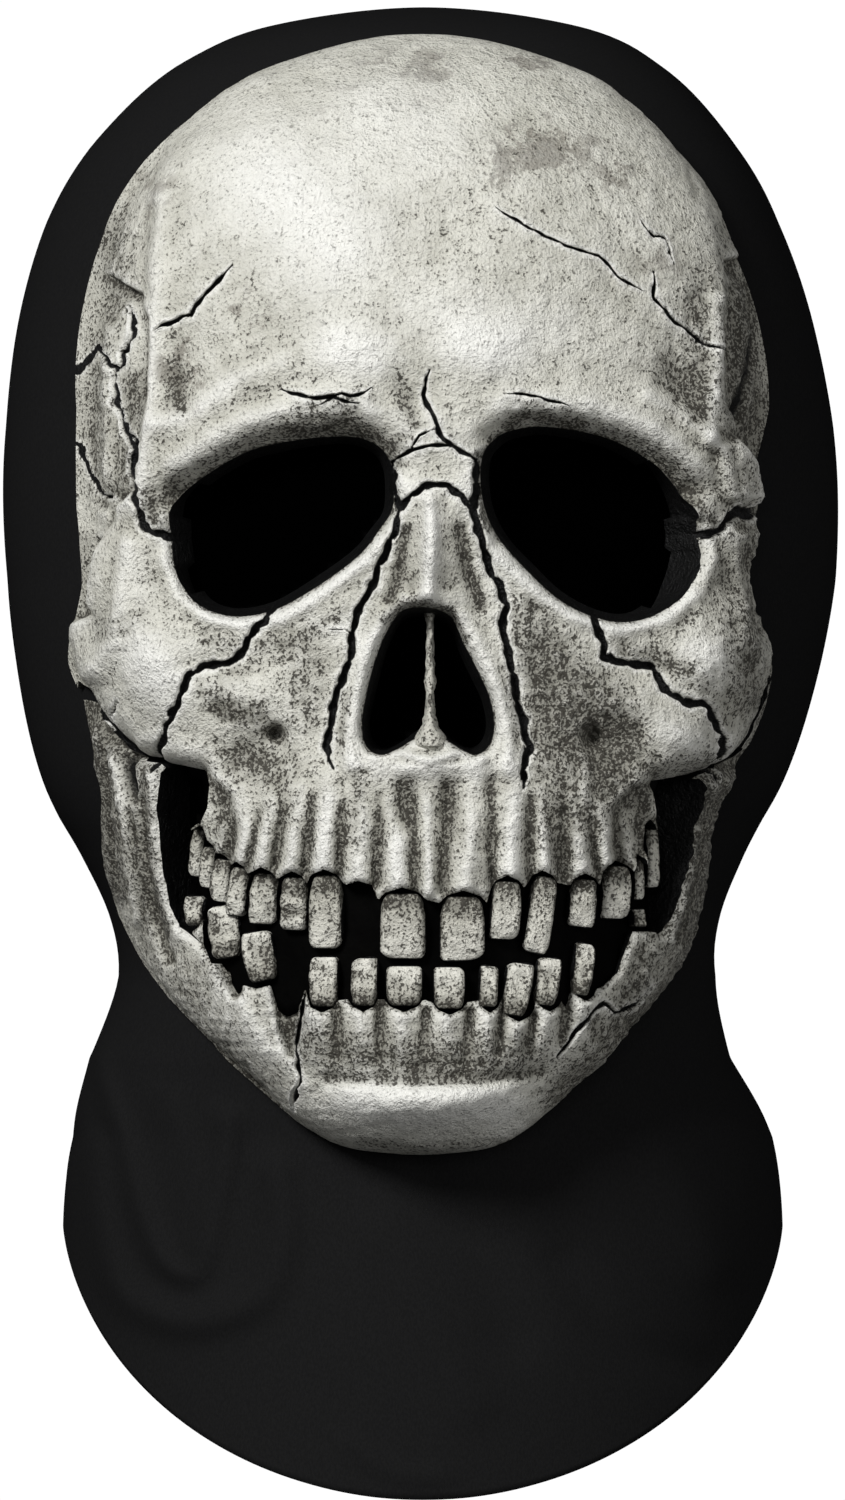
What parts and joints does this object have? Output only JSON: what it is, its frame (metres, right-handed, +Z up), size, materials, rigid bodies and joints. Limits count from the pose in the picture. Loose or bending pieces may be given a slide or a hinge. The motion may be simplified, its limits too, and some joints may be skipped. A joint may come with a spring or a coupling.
{
  "type": "skull mask",
  "caption": "Moulded skull face with open sockets, nose and jaw gaps and separate teeth, on a black stretch-cloth hood with a rounded neck bib.",
  "frame": {"origin": "the seat inside the hood's crown, where the wearer's head carries the mask", "axes": "+Z up, the face looks along -Y, +X to the right of someone who looks at the face"},
  "size_m": [0.202, 0.2262, 0.3591],
  "materials": {
    "cloth": "black stretch cloth with a soft satin sheen",
    "bone": "matt cast latex, aged bone colour with dark cracks, pits and brown-grey stains",
    "tooth": "satin cast latex, cream with darker roots",
    "gum": "matt black latex"
  },
  "bodies": {
    "root": {"hood": "cloth", "skull_face": "bone", "lower_jaw": "bone", "gum_band": "gum", "nasal_septum": "bone", "upper_tooth_01": "tooth", "upper_tooth_02": "tooth", "upper_tooth_03": "tooth", "upper_tooth_04": "tooth", "upper_tooth_05": "tooth", "upper_tooth_06": "tooth", "upper_tooth_07": "tooth", "upper_tooth_08": "tooth", "upper_tooth_09": "tooth", "upper_tooth_10": "tooth", "upper_tooth_11": "tooth", "upper_tooth_12": "tooth", "upper_tooth_13": "tooth", "upper_tooth_14": "tooth", "upper_tooth_15": "tooth", "lower_tooth_01": "tooth", "lower_tooth_02": "tooth", "lower_tooth_03": "tooth", "lower_tooth_04": "tooth", "lower_tooth_05": "tooth", "lower_tooth_06": "tooth", "lower_tooth_07": "tooth", "lower_tooth_08": "tooth", "lower_tooth_09": "tooth", "lower_tooth_10": "tooth", "lower_tooth_11": "tooth", "lower_tooth_12": "tooth"}
  },
  "joints": []
}
